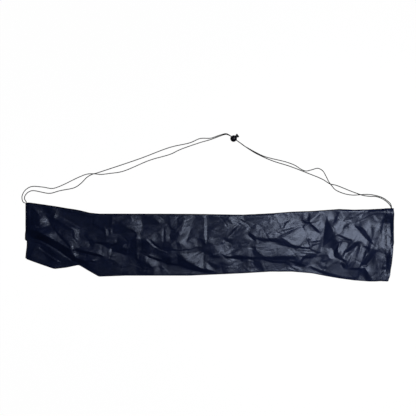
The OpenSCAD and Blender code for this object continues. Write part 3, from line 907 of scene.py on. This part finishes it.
def upper_field():
    """Height of the upper leaf over the grid, and of the lower leaf under it."""
    a, b = PLANE_Y - fold_y(PLANE_X), seam_y(PLANE_X) - PLANE_Y
    c = PLANE_X + HALF_L
    domain = cloth_domain(a, b, c) & (PLANE_X < HALF_L + BEYOND)
    slope, weight, lit, firm = wanted_slopes()
    rim = 1 - smooth(np.minimum(np.minimum(a, b), c) / 24)
    height = solve_height(slope, weight, domain, 0.0008 + 0.010 * rim, lit, firm)
    puff = EDGE_RISE + PUFF * smooth((a + 10) / 90) * smooth((b + 10) / 90) * smooth((c + 10) / 90)
    mouth = near_hem(PLANE_X, 70, 70)
    lower = lower_field(a, b, c)
    ends = np.maximum(smooth((PLANE_Y - 76) / 22), smooth((-80 - PLANE_Y) / 25))
    height = height * (1 - mouth * (0.4 + 0.6 * ends))
    total = height + puff * (1 - mouth) + hem_level(PLANE_Y) * mouth + random_ridges()
    total = -soft_floor(-total, -TOP_Z, 1.5)
    floor_level = lower + LEAF_GAP + 3.2 * mouth * (1 - ends)
    total = soft_floor(total, floor_level, 0.8)
    rise = rounded((b - 2) / 7) * rounded((c - 3) / 7)
    seam_level = SEAM_LEAF_Z + (hem_level(PLANE_Y) - SEAM_LEAF_Z) * near_hem(PLANE_X, 8, 10)
    return seam_level + (total - seam_level) * rise, lower


def random_ridges():
    """Sharp little creases, up and down, scattered over the leaf and mostly slanting."""
    rng = np.random.default_rng(31)
    total = np.zeros(PLANE_X.shape)
    for _ in range(RIDGE_COUNT):
        x, y = rng.uniform(-HALF_L, HALF_L), rng.uniform(-115, 110)
        angle = math.radians(rng.choice([38, -42, 84, 4]) + rng.normal(0, 16))
        long, wide = rng.uniform(9, 38), rng.uniform(2.0, 4.6)
        high = rng.choice([-1, -1, 1]) * wide * rng.uniform(0.03, 0.16)
        near = (np.abs(PLANE_X - x) < long + wide) & (np.abs(PLANE_Y - y) < long + wide)
        dx, dy = PLANE_X[near] - x, PLANE_Y[near] - y
        along = dx * math.cos(angle) + dy * math.sin(angle)
        bow = 3.0 * (along / long) ** 2 * rng.uniform(-1, 1)
        off = dy * math.cos(angle) - dx * math.sin(angle) + bow
        total[near] += high * np.maximum(0, 1 - np.abs(off) / wide) * smooth((1 - np.abs(along) / long) * 2)
    return total


def lower_field(a, b, c):
    """Height of the lower leaf, which lies almost flat."""
    domain = cloth_domain(a, b, c)
    slope = cell_tilts(60, 0.05, 21) + cell_tilts(22, 0.04, 22)
    height = solve_height(slope, np.ones(a.shape), domain, 0.02)
    return LOWER_LEAF_Z + soft_floor(height, 0.0, 0.3)


def sample(field, x, y):
    """Bilinear reading of a grid field."""
    fx = np.clip((np.asarray(x, float) - GRID_X[0]) / GRID, 0, len(GRID_X) - 1.001)
    fy = np.clip((np.asarray(y, float) - GRID_Y[0]) / GRID, 0, len(GRID_Y) - 1.001)
    ix, iy = fx.astype(int), fy.astype(int)
    tx, ty = fx - ix, fy - iy
    low = field[ix, iy] * (1 - tx) + field[ix + 1, iy] * tx
    high = field[ix, iy + 1] * (1 - tx) + field[ix + 1, iy + 1] * tx
    return low * (1 - ty) + high * ty


upper_z, lower_z = upper_field()


# ---- the two leaves

EDGE_Z = 0.9
LIP = 3.0
MOUTH_LIP = 5.5
HEM_TUCK = 1.2
UNDER_HEM = 0.5
CLOTH_T = 0.3


def leaf_grid(columns, rows):
    """Places over the leaf from the closed end to the hem and from the fold to the seam."""
    u = np.linspace(0, 1, columns)[:, None]
    inner = np.linspace(0, 1, rows - 6)[1:-1]
    v = np.concatenate([[0, 0.0012, 0.0035, 0.0075], inner, [0.9925, 0.9965, 0.9988, 1]])[None]
    x0 = -HALF_L + END_W - 1
    hem = HALF_L - CASING_W + HEM_TUCK
    x = x0 + (hem - x0) * u + 0 * v
    for _ in range(4):
        fold = leaf_fold_y(x)
        y = fold + (seam_y(x) - SEAM_W + 1 - fold) * v
        start = x0 + end_shift(y)
        x = start + (hem - slant(y) - start) * u
    return x, y


def leaf_fold_y(x):
    """The leaves' folded edge, drawn in a little to meet the casing's."""
    return fold_y(x) + 1.4 * near_hem(x, 30, 26)


def lip(x, d):
    """The rounded rise of a leaf from its folded edge, wider at the mouth."""
    reach = LIP + (MOUTH_LIP - LIP) * near_hem(x, 40, 40)
    return rounded(d / reach)


def make_leaf(name, field, columns, rows, top, material):
    x, y = leaf_grid(columns, rows)
    z = sample(field, x, y)
    z = EDGE_Z + (z - EDGE_Z) * lip(x, y - leaf_fold_y(x))
    if top:
        z = z - UNDER_HEM * near_hem(x + slant(y), 4, 4)
    faces = quads(columns, rows)
    obj = mesh_piece(
        name, np.stack([x, y, z], axis=-1).reshape(-1, 3), faces[:, ::-1] if top else faces, material
    )
    solidify = obj.modifiers.new("cloth", "SOLIDIFY")
    solidify.thickness, solidify.offset = CLOTH_T * MM, -1
    return obj


upper_leaf = make_leaf("upper_leaf", upper_z, 560, 120, True, cloth_mat)
lower_leaf = make_leaf("lower_leaf", lower_z, 260, 56, False, cloth_mat)
finish_piece(upper_leaf, "bag", "bag_cloth", "front_panel")
finish_piece(lower_leaf, "bag", "bag_cloth", "back_panel", "side_allowance", "end_allowance")


# ---- the casing

CASING_HALF = CASING_W / 2
CASING_H = 3.8
CASING_END = 101.0
TURN_Y = -113.5
TURN_R = 3.4
BACK_Z = CASING_H / 2
CORD_U = 6.0
STITCH_U = 3 - CASING_HALF


def casing_path():
    """Places along the casing's middle as (y, z, share), where share is how far it follows the upper leaf."""
    back = [(y, BACK_Z, 0.0) for y in np.linspace(CASING_END, TURN_Y, 90, endpoint=False)]
    turn = [
        (TURN_Y + TURN_R * math.cos(a), BACK_Z + TURN_R + TURN_R * math.sin(a), 0.0)
        for a in np.radians(np.linspace(-90, -270, 15))
    ]
    front = [
        (y, float(hem_level(y)), float(smooth((y - TURN_Y) / 16)))
        for y in np.linspace(TURN_Y, CASING_END, 134)[1:]
    ]
    return np.array(back + turn + front)


def casing_skins(u):
    """The casing's outer and inner skins, as grids of points over its path and over u."""
    path = casing_path()
    tangent = np.gradient(path[:, :2], axis=0)
    tangent /= np.linalg.norm(tangent, axis=1)[:, None]
    y, z, share = (path[:, k : k + 1] for k in range(3))
    corner = smooth((-y - 97) / 20)
    reach = u[None] * (1 - 0.30 * corner * smooth((u[None] + CASING_HALF) / CASING_W))
    wave = np.cumsum(np.linalg.norm(np.gradient(path[:, :2], axis=0), axis=1))[:, None]
    edge = 0.5 * wander(wave, 0 * wave, 11, 51) * smooth(u[None] / CASING_HALF)
    x = HALF_L - CASING_HALF - slant(y) + reach + edge
    bulge = 1.25 * np.exp(-(((u - CORD_U) / 3.0) ** 2))
    bulge = bulge + 0.35 * smooth((u + 8) / 6) * smooth((CASING_HALF - u) / 1.2)
    dent = 0.75 * np.exp(-(((u - STITCH_U) / 1.3) ** 2))
    pucker = 0.55 * np.exp(-(((u - STITCH_U - 1) / 6.0) ** 2))[None] * wander(wave, u[None] * 0.5, 5.5, 52)
    pucker = (pucker + 0.3 * wander(wave, u[None], 8, 53)) * (1 - 0.7 * corner)
    out = np.maximum(0.8 + 0.4 * bulge - dent + pucker * (0.4 + 0.6 * share), 0.25)
    skins = []
    for v in (-out, 0.4 + 1.5 * bulge + 0 * out):
        rigid_y = y + v * tangent[:, 1:2]
        rigid_z = z - v * tangent[:, 0:1]
        draped = sample(upper_z, x, y + 0 * x) - v
        draped = np.maximum(draped, BACK_Z + 2.1 - v)
        z_all = np.maximum(rigid_z * (1 - share) + draped * share, LOWEST_Z)
        skins.append(np.stack([x, rigid_y, z_all], axis=-1))
    return skins


def shell(outer, inner):
    """A closed skin between two grids of points that share their outline's order."""
    n, m = outer.shape[:2]
    k = n * m
    grid = quads(n, m)
    rim = list(range(m)) + [i * m + m - 1 for i in range(1, n)]
    rim += [(n - 1) * m + j for j in range(m - 2, -1, -1)] + [i * m for i in range(n - 2, 0, -1)]
    strip = [(a, b, b + k, a + k) for a, b in zip(rim, [*rim[1:], rim[0]])]
    points = np.vstack([outer.reshape(-1, 3), inner.reshape(-1, 3)])
    faces = grid[:, ::-1].tolist() + (grid + k).tolist() + strip
    return points, faces


casing_u = np.concatenate([[-13, -12.8, -12.3], np.arange(-11.5, 11.6, 0.85), [12.2, 12.7, 13]])
outer_skin, inner_skin = casing_skins(casing_u)
for k in (0, -1):
    inner_skin[:, k] = (inner_skin[:, k] + outer_skin[:, k]) / 2 - (0, 0, 0.05)
casing = mesh_piece("mouth_hem", *shell(outer_skin, inner_skin), cloth_mat)
finish_piece(casing, "bag", "bag_cloth", "mouth_casing")

row = int(np.argmin(np.abs(casing_u - CORD_U)))
drawcord_line = respace((outer_skin[:, row] + inner_skin[:, row]) / 2, 0.8)
drawcord = mesh_piece("drawcord_in_hem", *tube(drawcord_line, CORD_D / 2 * 0.98, 12), cord_mat)
finish_piece(drawcord, "bag", "cord", "casing_cord")


# ---- seams and stitches

SEAM_TOP = 3.2
SEAM_STEP = 1.4
STITCH_PITCH = 3.2
STITCH_L = 2.6
THREAD_D = 0.5
TACK_TURNS = 13


def rolled_seam(name, line, half_w, half_h, seed):
    """A folded and overlocked edge: a low puckered roll."""
    sides = 14
    wave = np.arange(len(line))[:, None] * SEAM_STEP
    turn = np.linspace(0, 2 * math.pi, sides, endpoint=False)[None]
    radii = 1 + 0.04 * wander(wave, turn * 2, 4.5, seed) + 0.02 * wander(wave, turn * 5, 1.8, seed + 1)
    points, faces = tube(line, radii, sides)
    centre = np.repeat(line, sides, axis=0)
    off = points - centre
    off[:, :2] *= half_w
    off[:, 2] *= half_h
    points = centre + off
    points[:, 2] = np.maximum(points[:, 2], LOWEST_Z)
    return mesh_piece(name, points, faces, seam_mat)


def stitches(name, line, seed):
    """A row of separate stitches along a line, each sunk a little at both ends."""
    rng = np.random.default_rng(seed)
    t = np.linspace(0, 1, 7)
    radii = THREAD_D / 2 * (0.35 + 0.65 * np.sin(math.pi * t) ** 0.5)
    parts = []
    for k in range(int(distances(line)[-1] / STITCH_PITCH)):
        places = places_at(line, (k + 0.1) * STITCH_PITCH + STITCH_L * t)
        places[:, 2] += 0.16 * np.sin(math.pi * t) + rng.normal(0, 0.02)
        places[:, :2] += rng.normal(0, 0.06, 2)
        parts.append(tube(places, radii[:, None], 6))
    return mesh_piece(name, *join_parts(parts), thread_mat)


def bartack(name, a, b, across):
    """Dense zigzag of thread from a to b on top of a seam."""
    count = 2 * TACK_TURNS + 1
    t = np.linspace(0, 1, count)
    side = np.where(np.arange(count) % 2 == 0, 1.0, -1.0)[:, None]
    a, b = (np.array([*v, SEAM_TOP + 0.1]) for v in (a, b))
    corners = a + (b - a) * t[:, None] + side * np.array(across)
    return mesh_piece(name, *tube(respace(corners, 0.35), 0.24, 8), thread_mat)


seam_x = np.arange(-HALF_L + 1.5, HALF_L - CASING_W + 1, SEAM_STEP)
seam_line = np.stack([seam_x, seam_y(seam_x) - SEAM_W / 2, 0 * seam_x + SEAM_TOP / 2], axis=1)
seam_line[:, 1] += 0.15 * wander(seam_x, 0 * seam_x, 14, 61)
side = rolled_seam("side_seam_roll", seam_line, 1.6, 1.5, 62)
finish_piece(side, "bag", "seam_cloth", "side_seam")

end_y = np.arange(EDGE[0, 1] + 1, EDGE[0, 2] - 0.5, SEAM_STEP)
end_line = np.stack([0 * end_y + END_W / 2 - HALF_L, end_y, 0 * end_y + SEAM_TOP / 2], axis=1)
end_line[:, 0] += end_shift(end_y) + 0.2 * wander(end_y, 0 * end_y, 12, 63)
end = rolled_seam("end_seam_roll", end_line, 2.1, 1.5, 64)
finish_piece(end, "bag", "seam_cloth", "end_seam")

lift = np.array([0, 0, SEAM_TOP / 2 + 0.02])
side_row = stitches("side_thread", respace(seam_line[8:-12] + lift, 1.0), 65)
end_row = stitches("end_thread", respace(end_line[4:-14] + lift, 1.0), 66)
finish_piece(side_row, "bag", "thread", "side_stitches")
finish_piece(end_row, "bag", "thread", "end_stitches")

row = int(np.argmin(np.abs(casing_u - STITCH_U)))
front_row = stitches("hem_thread_front", respace(outer_skin[112:-2, row], 1.0), 67)
finish_piece(front_row, "bag", "thread", "casing_stitches")

hem_end = HALF_L - CASING_W - HEM_GAP
tack_y = float(seam_y(hem_end)) - SEAM_W / 2
mouth_tack = bartack("mouth_tack", (hem_end - 10, tack_y), (hem_end, tack_y), (0, 1.1, 0))
corner_x = END_W / 2 - HALF_L
corner_tack = bartack("corner_tack", (corner_x, 99.5), (corner_x, 110.5), (1.5, 0, 0))
finish_piece(mouth_tack, "bag", "thread", "mouth_bartack")
finish_piece(corner_tack, "bag", "thread", "corner_bartack")


# ---- the cord lock

SPRING_FROM, SPRING_TO = -8.6, -4.64
SPRING_R = 2.6
SPRING_TURNS = 3
WIRE_D = 0.6


def lock_place(x, y, z):
    """A place in the lock's own frame, X along its button, in the bag's frame."""
    across = np.array([-BUTTON_WAY[1], BUTTON_WAY[0], 0.0])
    centre = np.array([*LOCK_AT, LOCK_Z])
    return centre + np.outer(x, BUTTON_WAY) + np.outer(y, across) + np.outer(z, (0, 0, 1.0))


share = np.linspace(0, 1, SPRING_TURNS * 28 + 1)
turn = 2 * SPRING_TURNS * math.pi * share
along = SPRING_FROM + (SPRING_TO - SPRING_FROM) * share
coil = lock_place(along, SPRING_R * np.cos(turn), SPRING_R * np.sin(turn))
spring = mesh_piece("spring_coil", *tube(coil, WIRE_D / 2, 10), wire_mat)
finish_piece(spring, "lock_body", "spring_steel", "lock_spring")
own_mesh(spring)

barrel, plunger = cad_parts["lock_barrel"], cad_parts["lock_plunger"]
for node, material in ((barrel, ball_mat), (plunger, button_mat)):
    node.data.materials.clear()
    node.data.materials.append(material)
    bevel = node.modifiers.new("soft_edges", "BEVEL")
    bevel.width, bevel.segments, bevel.limit_method = 0.35 * MM, 3, "ANGLE"
